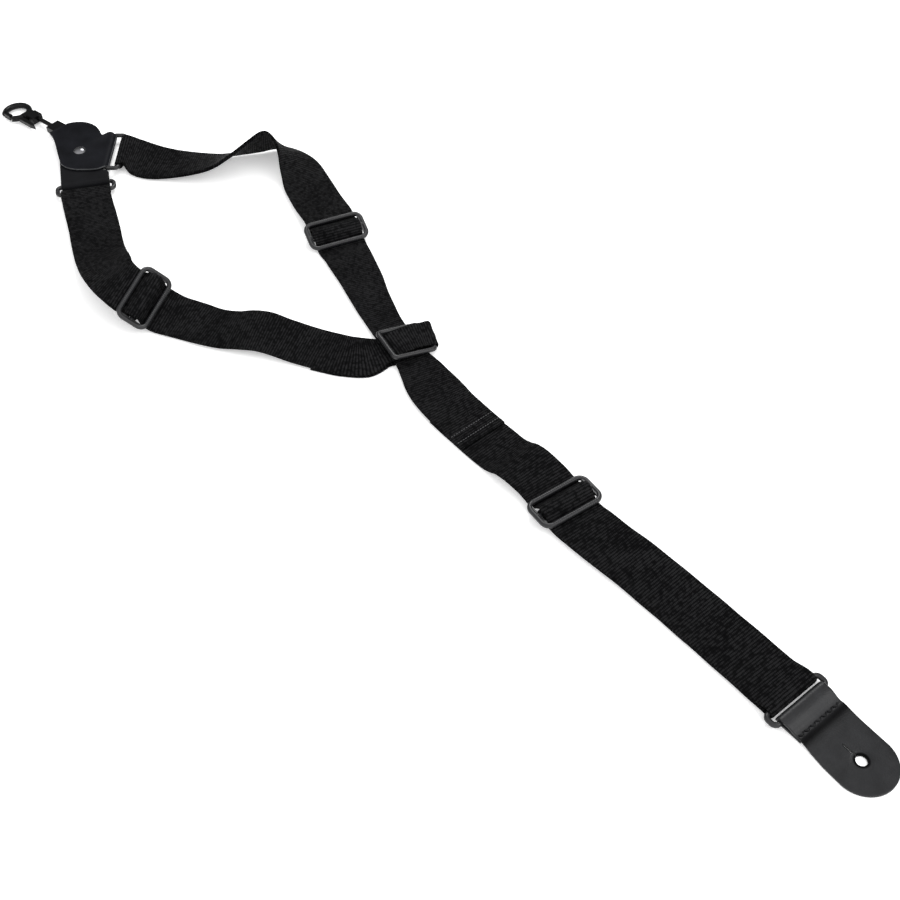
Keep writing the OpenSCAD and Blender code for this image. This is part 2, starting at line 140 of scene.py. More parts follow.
def turn(at, v):
    return rot_z(at[1], rot_y(-at[2], rot_x(-at[3], v)))


def local(at, v):
    """A point in a hard piece's own frame, in mm, as a point of the laid-out frame."""
    return np.array(at[0], float) + turn(at, v)


def metres(p):
    return (np.asarray(p, float) + SHIFT) * MM


# ---------- webbing paths: stations of centre, right-hand vector, width factor ----------
def right_of(h, tilt):
    h, tilt = math.radians(h), math.radians(tilt)
    return np.array([math.sin(h) * math.cos(tilt), -math.cos(h) * math.cos(tilt), math.sin(tilt)])


def catmull(rows, n):
    rows = np.array(rows, float)
    out = []
    for i in range(len(rows) - 1):
        a, b = rows[max(i - 1, 0)], rows[i]
        c, d = rows[i + 1], rows[min(i + 2, len(rows) - 1)]
        for k in range(n):
            u = k / n
            out.append(0.5 * (2 * b + (c - a) * u + (2 * a - 5 * b + 4 * c - d) * u * u
                              + (3 * b - a - 3 * c + d) * u ** 3))
    out.append(rows[-1])
    return np.array(out)


def lay(rows, n, lower=0.0):
    d = catmull(rows, n)
    out = []
    for i, row in enumerate(d):
        t = d[min(i + 1, len(d) - 1)][:3] - d[max(i - 1, 0)][:3]
        r = right_of(row[3], row[4])
        up = np.cross(r, t)
        up /= np.linalg.norm(up)
        out.append((row[:3] - up * lower, r, row[5]))
    return out


def profile(at, pts, wf=1.0):
    r = turn(at, (0, -1, 0))
    return [(local(at, (x, 0, z)), r, wf) for x, z in pts]


def arc(cx, cz, r, a, b, n):
    return [(cx + r * math.cos(math.radians(a + (b - a) * k / n)),
             cz + r * math.sin(math.radians(a + (b - a) * k / n))) for k in range(n + 1)]


def through(s):
    u, p = UNDER, PITCH
    return [(-p - s, -u), (-p, -u), (-p + 3.4, -u + 0.8), (-p + 5.6, 0), (-4.6, u + 0.6),
            (-2.6, u + LAYER), (0, u + LAYER + 0.4), (2.6, u + LAYER), (4.6, u + 0.6),
            (p - 5.6, 0), (p - 3.4, -u + 0.8), (p, -u), (p + s, -u)]


def anchor(s):
    u, p = UNDER, PITCH
    return ([(p + s, -u - LAYER), (p, -u - LAYER), (7, -u - LAYER), (5, -u - 0.6)]
            + arc(0, 0, u, -28, 200, 9) + [(-2.6, -u - 0.5), (0, -u - LAYER)])


def ring_wrap(at, off, side):
    return profile(at, arc(side * off, 0, WRAP, 90, 90 + side * 200, 9))


def joint_band():
    """Over the long strap, round the far bar and back: across, height, skew of the loop."""
    far, slack, skew = (JOINT_LEN - RING_BAR) / 2, 3.6, -13
    h = JOINT[0][2] - far * math.sin(math.radians(JOINT[3]))
    pts = ([(-19, 7, 0), (-16.5, 8.6, 0), (-13, 10.2, 0), (-8, 11.4, -2), (-2, 11.9, -4),
            (5, 11.7, -7), (12, 11, -10), (18, h + WRAP + 0.9, skew)]
           + [(y, z, skew) for y, z in arc(far + slack, h, WRAP, 90, -90, 8)]
           + [(19, h - WRAP, -11), (14, 0.95, -8), (-4, 0.95, -3), (-20, 0.95, 0)])
    base = np.array([JOINT[0][0], JOINT[0][1], 0.0])
    return [(base + rot_z(JOINT[1], (0, y, z)), rot_z(JOINT[1] + a, (1, 0, 0)), BAND_W)
            for y, z, a in pts]


def mirrored(pts):
    return [(-x, z) for x, z in pts]


# Each strap is cut under the slide's first outer bar, so that the folds can follow the slide.
LEAD = 2             # stations of through() before the cut
THROUGH_W = 0.99     # width of the webbing inside a slide
long_first = (profile(UPPER, mirrored(anchor(2)))[::-1] + lay(LONG_A, 6, LAYER)[::-1]
              + ring_wrap(RIGHT, HUB_OFF, 1)[::-1] + lay(LONG_A, 6)
              + profile(UPPER, through(2)[:LEAD], THROUGH_W))
long_second = profile(UPPER, through(2)[LEAD - 1:], THROUGH_W) + lay(LONG_B, 5)
side_first = (profile(SIDE, mirrored(anchor(2)))[::-1] + lay(SIDE_A, 6, LAYER)[::-1]
              + ring_wrap(LOWER, LOWER_OFF, 1)[::-1] + lay(SIDE_A, 6)
              + profile(SIDE, through(2)[:LEAD], THROUGH_W))
side_second = (profile(SIDE, through(2)[LEAD - 1:], THROUGH_W) + lay(SIDE_B, 6) + joint_band()
               + lay(SIDE_R, 4)[::-1])
tail_first = lay(TAIL_A, 6) + profile(TAIL, through(2)[:LEAD], THROUGH_W)
tail_second = (profile(TAIL, through(2)[LEAD - 1:], THROUGH_W) + lay(TAIL_B, 6)
               + ring_wrap(END, END_OFF, -1) + lay(TAIL_B, 6, LAYER)[::-1]
               + profile(TAIL, anchor(2)))


# ---------- materials ----------
def nodes_of(name):
    m = bpy.data.materials.new(name)
    m.use_nodes = True
    tree = m.node_tree
    return m, tree, tree.nodes["Principled BSDF"]


def math_node(tree, op, a, b=None):
    n = tree.nodes.new("ShaderNodeMath")
    n.operation = op
    for i, v in enumerate((a, b)):
        if v is None:
            continue
        if isinstance(v, (int, float)):
            n.inputs[i].default_value = v
        else:
            tree.links.new(v, n.inputs[i])
    return n.outputs[0]


def ramp(tree, value, stops):
    n = tree.nodes.new("ShaderNodeValToRGB")
    n.color_ramp.elements[0].position = stops[0][0]
    n.color_ramp.elements[0].color = (*stops[0][1], 1)
    n.color_ramp.elements[1].position = stops[-1][0]
    n.color_ramp.elements[1].color = (*stops[-1][1], 1)
    for pos, col in stops[1:-1]:
        n.color_ramp.elements.new(pos).color = (*col, 1)
    tree.links.new(value, n.inputs[0])
    return n.outputs[0]


def noise(tree, vector, scale, detail=3.0, rough=0.55):
    n = tree.nodes.new("ShaderNodeTexNoise")
    n.inputs["Scale"].default_value = scale
    n.inputs["Detail"].default_value = detail
    n.inputs["Roughness"].default_value = rough
    tree.links.new(vector, n.inputs["Vector"])
    return n.outputs["Fac"]


def bump(tree, height, distance, strength, shader, normal=None):
    n = tree.nodes.new("ShaderNodeBump")
    n.inputs["Distance"].default_value = distance
    n.inputs["Strength"].default_value = strength
    tree.links.new(height, n.inputs["Height"])
    if normal is not None:
        tree.links.new(normal, n.inputs["Normal"])
    if shader is not None:
        tree.links.new(n.outputs[0], shader.inputs["Normal"])
    return n.outputs[0]


def webbing_material():
    """Ribbed nylon: ribs across the strap, each of side-by-side yarns, shifted from rib to rib."""
    m, tree, shader = nodes_of("webbing")
    uv = tree.nodes.new("ShaderNodeUVMap")
    uv.uv_map = "UVMap"
    split = tree.nodes.new("ShaderNodeSeparateXYZ")
    tree.links.new(uv.outputs[0], split.inputs[0])
    u, v = split.outputs[0], split.outputs[1]        # mm along and across
    geo = tree.nodes.new("ShaderNodeTexCoord")
    wobble = math_node(tree, "MULTIPLY", noise(tree, geo.outputs["Object"], 90.0), 0.5)
    rib_u = math_node(tree, "DIVIDE", math_node(tree, "ADD", u, wobble), 2.5)
    rib = math_node(tree, "ABSOLUTE", math_node(
        tree, "SINE", math_node(tree, "MULTIPLY", rib_u, math.pi)))
    parity = math_node(tree, "MODULO", math_node(tree, "FLOOR", rib_u), 2.0)
    yarn_v = math_node(tree, "ADD", math_node(tree, "DIVIDE", v, 1.55),
                       math_node(tree, "MULTIPLY", parity, 0.5))
    yarn = math_node(tree, "ABSOLUTE", math_node(
        tree, "SINE", math_node(tree, "MULTIPLY", yarn_v, math.pi)))
    height = math_node(tree, "MULTIPLY", math_node(tree, "POWER", rib, 0.7),
                       math_node(tree, "ADD", 0.5, math_node(tree, "MULTIPLY", yarn, 0.5)))
    broken = noise(tree, geo.outputs["Object"], 260.0, 2.0)
    height = math_node(tree, "MULTIPLY", height,
                       math_node(tree, "MULTIPLY", math_node(tree, "POWER", broken, 1.5), 2.8))
    fuzz = noise(tree, geo.outputs["Object"], 900.0, 2.0)
    top = math_node(tree, "ADD", height, math_node(tree, "MULTIPLY", fuzz, 0.25))
    patch = noise(tree, geo.outputs["Object"], 35.0, 4.0)
    tone = math_node(tree, "MULTIPLY", top, math_node(tree, "ADD", 0.55, patch))
    # colour lighter on the rib and yarn tops and darker in the grooves between them (painted light
    # and shade), times patches that differ at random
    tree.links.new(ramp(tree, tone, [(0.1, (0.0004, 0.0004, 0.0005)),
                                     (0.75, (0.003, 0.003, 0.0033)),
                                     (1.3, (0.013, 0.013, 0.0136))]), shader.inputs["Base Color"])
    tree.links.new(math_node(tree, "SUBTRACT", 0.86, math_node(tree, "MULTIPLY", tone, 0.22)),
                   shader.inputs["Roughness"])
    shader.inputs["Specular IOR Level"].default_value = 0.035
    bump(tree, top, 0.00045, 0.9, shader)
    return m


def distance_from(tree, vector, place):
    """How far the shaded point is, in metres, from a place of the laid-out frame."""
    n = tree.nodes.new("ShaderNodeVectorMath")
    n.operation = "DISTANCE"
    tree.links.new(vector, n.inputs[0])
    n.inputs[1].default_value = tuple(metres(place))
    return n.outputs["Value"]


def leather_material(name, dark, light, rough, gloss, rim=None, valley_shade=None):
    """Grained leather. rim is (place, radius) of an edge round a hole that is painted darker and
    less glossy; the last argument is (place, direction, width) of a band of painted shade, darker
    and less glossy, where the leather dips behind the sewing."""
    m, tree, shader = nodes_of(name)
    geo = tree.nodes.new("ShaderNodeTexCoord")
    cells = tree.nodes.new("ShaderNodeTexVoronoi")
    cells.feature = "F1"
    cells.inputs["Scale"].default_value = 900.0
    tree.links.new(geo.outputs["Object"], cells.inputs["Vector"])
    fine = noise(tree, geo.outputs["Object"], 1400.0, 3.0)
    broad = noise(tree, geo.outputs["Object"], 45.0, 5.0, 0.6)
    grain = math_node(tree, "ADD", math_node(tree, "MULTIPLY", cells.outputs["Distance"], 0.8),
                      math_node(tree, "MULTIPLY", fine, 0.5))
    colour = ramp(tree, broad, [(0.3, dark), (0.72, light)])
    shine = None
    if rim is not None:
        out = math_node(tree, "DIVIDE", distance_from(tree, geo.outputs["Object"], rim[0]),
                        rim[1] * MM)
        shine = math_node(tree, "MINIMUM", math_node(tree, "POWER", out, 10.0), 1.0)
    # a band of painted shade across the strip: darker colour and less gloss where the leather dips
    # behind the sewing
    if valley_shade is not None:
        along = tree.nodes.new("ShaderNodeVectorMath")
        along.operation = "DOT_PRODUCT"
        tree.links.new(geo.outputs["Object"], along.inputs[0])
        along.inputs[1].default_value = tuple(valley_shade[1])
        start = float(np.dot(metres(valley_shade[0]), valley_shade[1]))
        x = math_node(tree, "DIVIDE", math_node(
            tree, "SUBTRACT", along.outputs["Value"], start), valley_shade[2] * MM)
        band = math_node(tree, "EXPONENT", math_node(
            tree, "MULTIPLY", math_node(tree, "MULTIPLY", x, x), -1.0))
        light_part = math_node(tree, "SUBTRACT", 1.0, math_node(tree, "MULTIPLY", band, 0.8))
        shine = light_part if shine is None else math_node(tree, "MULTIPLY", shine, light_part)
    if shine is not None:
        shade = tree.nodes.new("ShaderNodeVectorMath")
        shade.operation = "SCALE"
        tree.links.new(colour, shade.inputs[0])
        tree.links.new(shine, shade.inputs["Scale"])
        colour = shade.outputs[0]
        tree.links.new(math_node(tree, "MULTIPLY", shine, gloss),
                       shader.inputs["Specular IOR Level"])
    else:
        shader.inputs["Specular IOR Level"].default_value = gloss
    tree.links.new(colour, shader.inputs["Base Color"])
    tree.links.new(math_node(tree, "ADD", rough - 0.14, math_node(tree, "MULTIPLY", broad, 0.28)),
                   shader.inputs["Roughness"])
    first = bump(tree, broad, 0.0006, 0.35, None)
    bump(tree, grain, 0.00018, 0.55, shader, first)
    return m


def plain_material(name, colour, rough, scale, depth, coat=0.0, metallic=0.0, gloss=0.5):
    """Moulded plastic, enamel or bare metal: fine surface noise in the gloss and the bump."""
    m, tree, shader = nodes_of(name)
    geo = tree.nodes.new("ShaderNodeTexCoord")
    n = noise(tree, geo.outputs["Object"], scale, 4.0)
    worn = noise(tree, geo.outputs["Object"], 60.0, 5.0, 0.7)
    low = tuple(c * 0.75 for c in colour)
    tree.links.new(ramp(tree, worn, [(0.35, low), (0.75, colour)]), shader.inputs["Base Color"])
    tree.links.new(math_node(tree, "ADD", rough - 0.1, math_node(tree, "MULTIPLY", worn, 0.2)),
                   shader.inputs["Roughness"])
    shader.inputs["Metallic"].default_value = metallic
    shader.inputs["Specular IOR Level"].default_value = gloss
    shader.inputs["Coat Weight"].default_value = coat
    shader.inputs["Coat Roughness"].default_value = 0.15
    bump(tree, n, depth, 0.5, shader)
    return m


WEBBING = webbing_material()
LEATHER = leather_material("leather", (0.002, 0.0022, 0.0032), (0.0065, 0.007, 0.0095), 0.5, 0.07)
TAB_HOLE = local(END, (END_OFF + 56.0, 0, 0))
# middle of the band of painted shade, where the tab dips behind the stitch row
TAB_VALLEY = local(END, (END_OFF + 21.0, 0, 0))
LEATHER_TAB = leather_material(
    "leather_tab", (0.004, 0.0042, 0.005), (0.012, 0.0124, 0.014), 0.4, 0.3,
    (TAB_HOLE, 7.2), (TAB_VALLEY, turn(END, (1, 0, 0)), 5.0))
# the cut edges' colour, much lighter than the leather: a painted highlight
LEATHER_EDGE_HIGHLIGHT = leather_material("leather_edge_highlight", (0.03, 0.031, 0.034), (0.07, 0.071, 0.075), 0.5, 0.4)
LEATHER_DARK = leather_material("leather_lower", (0.002, 0.002, 0.0026), (0.0055, 0.0058, 0.007),
                                0.6, 0.08)
PLASTIC = plain_material("ring_plastic", (0.01, 0.01, 0.0115), 0.36, 1500.0, 0.00008, gloss=0.4)
HOOK_PLASTIC = plain_material("hook_plastic", (0.003, 0.003, 0.0034), 0.3, 900.0, 0.00005, 0.08,
                              gloss=0.12)
RIVET_PAINT = plain_material("rivet_paint", (0.2, 0.2, 0.21), 0.24, 700.0, 0.00004, 0.1, 1.0)
STEEL = plain_material("steel", (0.5, 0.5, 0.52), 0.3, 2500.0, 0.00003, 0.0, 1.0)
THREAD_PALE = plain_material("thread_pale", (0.085, 0.085, 0.088), 0.75, 4000.0, 0.0001,
                             gloss=0.2)
THREAD = plain_material("thread", (0.008, 0.008, 0.009), 0.75, 4000.0, 0.0001, gloss=0.2)


# ---------- ribbons ----------
def resample(stations, step):
    """Evenly spaced stations on a smooth curve through the given ones."""
    keep = [stations[0]]
    for s in stations[1:]:
        if np.linalg.norm(s[0] - keep[-1][0]) > 0.25:
            keep.append(s)
    rows = np.array([np.concatenate([s[0], s[1], [s[2]]]) for s in keep])
    lengths = np.linalg.norm(np.diff(rows[:, :3], axis=0), axis=1)
    out = []
    for i in range(len(rows) - 1):
        a, b = rows[max(i - 1, 0)], rows[i]
        c, d = rows[i + 1], rows[min(i + 2, len(rows) - 1)]
        # tangents by chord length, so that uneven stations give no overshoot
        la = lengths[i - 1] if i > 0 else lengths[i]
        lb = lengths[i]
        lc = lengths[i + 1] if i + 1 < len(lengths) else lengths[i]
        mb = ((b - a) / la * lb + (c - b) / lb * la) / (la + lb) * lb if i > 0 else c - b
        mc = ((c - b) / lb * lc + (d - c) / lc * lb) / (lb + lc) * lb \
            if i + 1 < len(lengths) else c - b
        n = max(1, int(round(lb / step)))
        for k in range(n):
            u = k / n
            out.append((2 * u ** 3 - 3 * u ** 2 + 1) * b + (u ** 3 - 2 * u ** 2 + u) * mb
                       + (-2 * u ** 3 + 3 * u ** 2) * c + (u ** 3 - u ** 2) * mc)
    out.append(rows[-1])
    return np.array(out)


def outward(obj):
    """Turns the faces of a closed mesh to face outwards."""
    bm = bmesh.new()
    bm.from_mesh(obj.data)
    bmesh.ops.recalc_face_normals(bm, faces=bm.faces)
    bm.to_mesh(obj.data)
    bm.free()


def mesh_object(name, verts, faces, material, uvs=None, smooth=True):
    data = bpy.data.meshes.new(name)
    data.from_pydata([tuple(v) for v in verts], [], faces)
    obj = bpy.data.objects.new(name, data)
    bpy.context.scene.collection.objects.link(obj)
    data.materials.append(material)
    if uvs is not None:
        layer = data.uv_layers.new(name="UVMap")
        for loop in data.loops:
            layer.data[loop.index].uv = uvs[loop.vertex_index]
    for p in data.polygons:
        p.use_smooth = smooth
    data.validate()
    return obj


def ribbon(name, path, left, right, thick, material, section, bend=None):
    """A strip swept along path (rows of centre and right-hand vector). left and right are the
    extents per station. section lists (across 0..1, height -1..1) round the cross-section."""
    m, n = len(path), len(section)
    centre, side = path[:, :3], path[:, 3:6]
    tangent = np.gradient(centre, axis=0)
    normal = np.cross(side, tangent)
    normal /= np.linalg.norm(normal, axis=1)[:, None]
    along = np.concatenate([[0], np.cumsum(np.linalg.norm(np.diff(centre, axis=0), axis=1))])
    verts, uvs = [], []
    for i in range(m):
        for across, high in section:
            v = left[i] + (right[i] - left[i]) * across
            h = high * thick / 2
            if bend is not None:
                h += bend(i, along[i], v, across, centre[i], high)
            verts.append(metres(centre[i] + side[i] * v + normal[i] * h))
            uvs.append((along[i], v + (0 if high >= 0 else 100)))
    faces = [(i * n + k, i * n + (k + 1) % n, (i + 1) * n + (k + 1) % n, (i + 1) * n + k)
             for i in range(m - 1) for k in range(n)]
    faces.append(tuple(reversed(range(n))))
    faces.append(tuple(range((m - 1) * n, m * n)))
    obj = mesh_object(name, verts, faces, material, uvs)
    outward(obj)
    return obj


def webbing_section(cols):
    """Flat faces, thinner towards the selvedges, and a round turn at each edge."""
    top = []
    for k in range(cols + 1):
        a = 0.006 + 0.988 * k / cols
        edge = min(a, 1 - a)
        high = 1.0 - 0.34 * max(0.0, 1 - edge / 0.03)
        if 0.035 < edge < 0.065:
            high += 0.07
        top.append((a, high))
    low = [(a, -h) for a, h in reversed(top)]
    return top + [(1.0, 0.0)] + low + [(0.0, 0.0)]


def webbing(name, stations, step=1.3):
    path = resample(stations, step)
    wf = path[:, 6]
    random.seed(name)
    phase = [random.uniform(0, 6.28) for _ in range(4)]

    def bend(i, s, v, across, centre, high):
        """Gathered stretches pleat lengthwise; the rest is very slightly uneven."""
        squeeze = max(0.0, (1 - wf[i] - 0.04) / 0.35)
        pleat = 0.22 * squeeze * math.sin(across * 4 * math.pi + phase[2] + s * 0.01)
        wave = 0.1 * math.sin(s * 0.045 + phase[0]) * math.sin(across * 5 + phase[1])
        return pleat + wave * (1 if wf[i] > 0.97 else 0)

    wide = WEB_W / 2 * wf
    wide = wide + 0.12 * np.sin(np.arange(len(wf)) * 0.21 + phase[3])
    return ribbon(name, path, -wide, wide, WEB_T, WEBBING, webbing_section(26), bend)


def slide_blend(piece, before):
    """Bakes the piece's placement into its mesh, the same for the piece before the slide as for
    the piece after it.
    """
    if before:
        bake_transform(piece)
    else:
        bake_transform(piece)


straps = [
    ("webbing_long_first", long_first, UPPER, "upper_slide", True, "long_strap"),
    ("webbing_long_second", long_second, UPPER, "upper_slide", False, None),
    ("webbing_side_first", side_first, SIDE, "side_slide", True, "side_strap"),
    ("webbing_side_second", side_second, SIDE, "side_slide", False, None),
    ("webbing_tail_first", tail_first, TAIL, "tail_slide", True, "tail_strap"),
    ("webbing_tail_second", tail_second, TAIL, "tail_slide", False, None),
]
for name, stations, at, slide_body, before, node in straps:
    piece = webbing(name, stations)
    slide_blend(piece, before)
    if node:
        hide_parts(node)


# ---------- leather ----------
def leather_section(cols):
    """Square-cut edges with a small bevel."""
    top = [(0.0, 0.72), (0.008, 1.0)] + [(k / cols, 1.0) for k in range(1, cols)] \
        + [(0.992, 1.0), (1.0, 0.72)]
    return top + [(a, -h) for a, h in reversed(top)]


def smooth_line(values, n):
    """Moving average that keeps the ends."""
    out = np.array(values, float)
    for _ in range(n):
        out[1:-1] = (out[:-2] + 2 * out[1:-1] + out[2:]) / 4
    return out


def along_local(at, path):
    """x in the hard piece's own frame for each station."""
    x_axis = turn(at, (1, 0, 0))
    return (path[:, :3] - np.array(at[0], float)) @ x_axis


def edge_line(x, points, smoothing):
    xs, ys = zip(*points)
    return smooth_line(np.interp(x, xs, ys), smoothing)


HUB_TIP = 74.8            # from the ring to the end of the tongue
NOTCH = (121.0, 44.0)     # the notch of the outline, in the laid-out frame
VALLEY = (0.1, 0.99)      # direction of the valley that starts there


def hub_top():
    """Hub plate: folded round the right ring's bar, running to the tongue over the swivel."""
    pts = ([(-HUB_OFF - 21, -WRAP_L), (-HUB_OFF - 12, -WRAP_L), (-HUB_OFF - 5, -WRAP_L)]
           + arc(-HUB_OFF, 0, WRAP_L, -90, 90, 12)
           + [(x, WRAP_L) for x in (-HUB_OFF - 4, -HUB_OFF - 12, -40, -58, -HUB_TIP)])
    path = resample(profile(RIGHT, pts), 0.9)
    u = -along_local(RIGHT, path)
    under = path[:, 2] < RIGHT[0][2]
    # extents to the left of the strip's heading (picture's upper right) and to its right
    far = edge_line(u, [(-20, 25.5), (2, 25.5), (5, 26.6), (8.5, 28.4), (12, 27.4), (15, 23.4),
                        (17.4, 21.6), (19, 25.4), (21, 31), (26, 38.6), (31.5, 43.2), (38, 46.4),
                        (44, 47.4), (50, 47.2), (56, 45.6), (61, 42.6), (65, 38.6),
                        (70, 33), (74.8, 28)], 2)
    near = edge_line(u, [(-20, -25.5), (0, -25.5), (4, -28.6), (8, -33), (12, -35.6), (20, -36.8),
                         (34, -36.8), (41, -35.2), (47, -32.2), (52.4, -27), (56.5, -16.5),
                         (61.5, -2), (66, 11.2), (70, 20.2), (74.8, 27.4)], 2)
    far = np.where(under, 25.0, far)
    near = np.where(under, -25.0, near)

    def bend(i, s, v, across, centre, high):
        if under[i] or u[i] < 6:
            return 0.0
        p = centre[:2] + path[i, 3:5] * v
        d = math.hypot(p[0] - RIVET[0], p[1] - RIVET[1])
        dish = -0.45 * math.exp(-(d / 11) ** 2)
        # a soft valley from the notch towards the rivet, and a rise over the swivel's base
        dx, dy = p[0] - NOTCH[0], p[1] - NOTCH[1]
        along = dx * VALLEY[0] + dy * VALLEY[1]
        off = dx * VALLEY[1] - dy * VALLEY[0]
        valley = -0.9 * math.exp(-(off / 6) ** 2) * math.exp(-(along / 17) ** 2)
        edge = min(across, 1 - across)
        roll = -0.45 * math.exp(-edge * (far[i] - near[i]) / 1.8)
        rise = 0.4 * math.exp(-((u[i] - 70) / 8) ** 2)
        return min(dish + valley + roll + rise, 0.6)

    # across runs from the far side, which is to the left of the right-hand vector
    obj = ribbon("leather_hub_top", path, -far, -near, LEATHER_T, LEATHER,
                 leather_section(56), bend)
    # the plate's cut edges above the ring get the lighter edge colour, a painted highlight
    obj.data.materials.append(LEATHER_EDGE_HIGHLIGHT)
    for p in obj.data.polygons:
        if abs(p.normal.z) < 0.4 and p.center.z * 1000 > RIGHT[0][2] + 1:
            p.material_index = 1
    return obj


hub_plate = hub_top()
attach(hub_plate, "strap")
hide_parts("hub_leather_top")


def hub_lower():
    pts = ([(-LOWER_OFF - 21, -WRAP_L), (-LOWER_OFF - 12, -WRAP_L), (-LOWER_OFF - 5, -WRAP_L)]
           + arc(-LOWER_OFF, 0, WRAP_L, -90, 90, 12)
           + [(-LOWER_OFF - 4, WRAP_L), (-LOWER_OFF - 12, WRAP_L - 0.1), (-45, WRAP_L),
              (-LOWER_OFF - 88, WRAP_L)])
    path = resample(profile(LOWER, pts), 0.9)
    u = -along_local(LOWER, path)
    under = path[:, 2] < LOWER[0][2]
    # on top the strip is narrowed on its left where the right ring lies across it
    left = edge_line(u, [(-20, 24.3), (2, 24.3), (20, 24.2), (22.5, 17.5), (26, 15.6), (45, 19.6),
                         (58, 22), (66, 21), (76, 16), (94, 4)], 1)
    right = edge_line(u, [(-20, -24.3), (60, -24.0), (80, -20), (94, -6)], 2)
    left = np.where(under, 24.3, left)
    return ribbon("leather_hub_lower", path, -left, -right, LEATHER_T, LEATHER_DARK,
                  leather_section(30))


hub_strip = hub_lower()
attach(hub_strip, "strap")
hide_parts("hub_leather_lower")


def cut(obj, cutter):
    """Takes cutter away from obj for good."""
    mod = obj.modifiers.new("cut", "BOOLEAN")
    mod.operation = "DIFFERENCE"
    mod.solver = "EXACT"
    mod.object = cutter
    bpy.context.view_layer.update()
    done = bpy.data.meshes.new_from_object(
        obj.evaluated_get(bpy.context.evaluated_depsgraph_get()))
    obj.modifiers.clear()
    obj.data = done
    bpy.data.objects.remove(cutter, do_unlink=True)


def prism(outline, at, low, high):
    """A closed upright prism on an outline of points in a hard piece's frame."""
    n = len(outline)
    verts = [metres(local(at, (x, y, z))) for z in (low, high) for x, y in outline]
    faces = [tuple(reversed(range(n))), tuple(range(n, 2 * n))]
    faces += [(k, (k + 1) % n, n + (k + 1) % n, n + k) for k in range(n)]
    return mesh_object("cutter", verts, faces, LEATHER, None, False)


TAB_LOW = LEATHER_T / 2 - END[0][2]
TAB_R, TAB_C, HOLE_X, HOLE_D, SLIT = 25.5, 58.5, 56.0, 9.0, 13.0


def end_tab():
    o = END_OFF
    shape = ([(19, -WRAP_L), (10, -WRAP_L), (4, -WRAP_L)] + arc(0, 0, WRAP_L, 270, 90, 12)
             + [(3, WRAP_L - 0.3), (6, 2.6), (9, 1.2), (12, -0.5), (14.4, -1.2), (17, -1.1),
                (21, -1.6), (26, -2.8), (31, TAB_LOW + 0.2), (36, TAB_LOW), (60, TAB_LOW),
                (TAB_C + TAB_R - 0.05, TAB_LOW)])
    path = resample(profile(END, [(x + o, z) for x, z in shape]), 0.6)
    x = along_local(END, path) - o
    first = int(np.argmin(x))
    under = np.arange(len(x)) < first
    tip = np.sqrt(np.maximum(TAB_R ** 2 - np.maximum(x - TAB_C, 0) ** 2, 0.3))
    left = np.where(x > TAB_C, tip, edge_line(
        x, [(-6, 24.5), (10, 25.4), (30, 26.2), (42, 26), (TAB_C, TAB_R)], 3))
    right = np.where(x > TAB_C, tip, edge_line(
        x, [(-6, 24.4), (4, 24.0), (15, 22.4), (25, 22.8), (42, 24.8), (TAB_C, TAB_R)], 3))
    left = np.where(under, 24.0, left)
    right = np.where(under, 22.6, right)

    def bend(i, s, v, across, centre, high):
        if under[i]:
            return 0.0
        edge = min(across, 1 - across) * (left[i] + right[i])
        roll = -0.3 * math.exp(-edge / 1.4) if x[i] > 26 else -0.2 * math.exp(-edge / 1.2)
        seam = -0.4 * math.exp(-((x[i] - 16) / 1.5) ** 2)
        d = math.hypot(x[i] - HOLE_X, v)
        lip = 0.28 * math.exp(-((d - 6.2) / 1.6) ** 2)
        if high < 0:
            return 0.0
        return roll + seam + lip + 0.12 * math.sin(v * 0.21 + 1) * math.sin(x[i] * 0.12)

    obj = ribbon("leather_end_tab", path, -left, right, LEATHER_T, LEATHER_TAB,
                 leather_section(44), bend)
    hole = [(HOLE_X + HOLE_D / 2 * math.cos(a), HOLE_D / 2 * math.sin(a))
            for a in np.linspace(0, 2 * math.pi, 48, endpoint=False)]
    cut(obj, prism([(x + o, y) for x, y in hole], END, -12, 3))
    s0, s1 = HOLE_X - HOLE_D / 2 - SLIT, HOLE_X - HOLE_D / 2 + 1.5
    slot = [(s0, -0.2), (s0 + 1, -0.65), (s1, -0.75), (s1, 0.75), (s0 + 1, 0.65), (s0, 0.2)]
    cut(obj, prism([(x + o, y) for x, y in slot], END, -12, 3))
    for p in obj.data.polygons:
        p.use_smooth = abs(p.normal.z) > 0.35
    return obj


tab = end_tab()
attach(tab, "tab")
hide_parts("end_tab")


# ---------- sewing thread ----------
def stitches(name, places, long, fat, material):
    """Short twisted thread lengths: places are (centre, direction, up) in the laid-out frame."""
    verts, faces = [], []
    rings, sides = 7, 8
    for centre, direction, up in places:
        d = np.array(direction, float) / np.linalg.norm(direction)
        w = np.cross(np.array(up, float), d)
        w /= np.linalg.norm(w)
        n = np.cross(d, w)
        base = len(verts)
        for k in range(rings):
            t = -1 + 2 * k / (rings - 1)
            r = fat / 2 * (0.35 + 0.65 * math.sqrt(max(0.0, 1 - t ** 6)))
            sink = -0.4 * fat * t ** 4
            for j in range(sides):
                a = 2 * math.pi * j / sides + t * 1.2
                flute = 1 + 0.14 * math.cos(3 * (a - t * 2.4))
                verts.append(metres(centre + d * t * long / 2
                                    + (w * math.cos(a) + n * math.sin(a)) * r * flute
                                    + n * sink))
        for k in range(rings - 1):
            for j in range(sides):
                a, b = base + k * sides + j, base + k * sides + (j + 1) % sides
                faces.append((a, b, b + sides, a + sides))
        faces.append(tuple(base + j for j in reversed(range(sides))))
        faces.append(tuple(base + (rings - 1) * sides + j for j in range(sides)))
    return mesh_object(name, verts, faces, material)


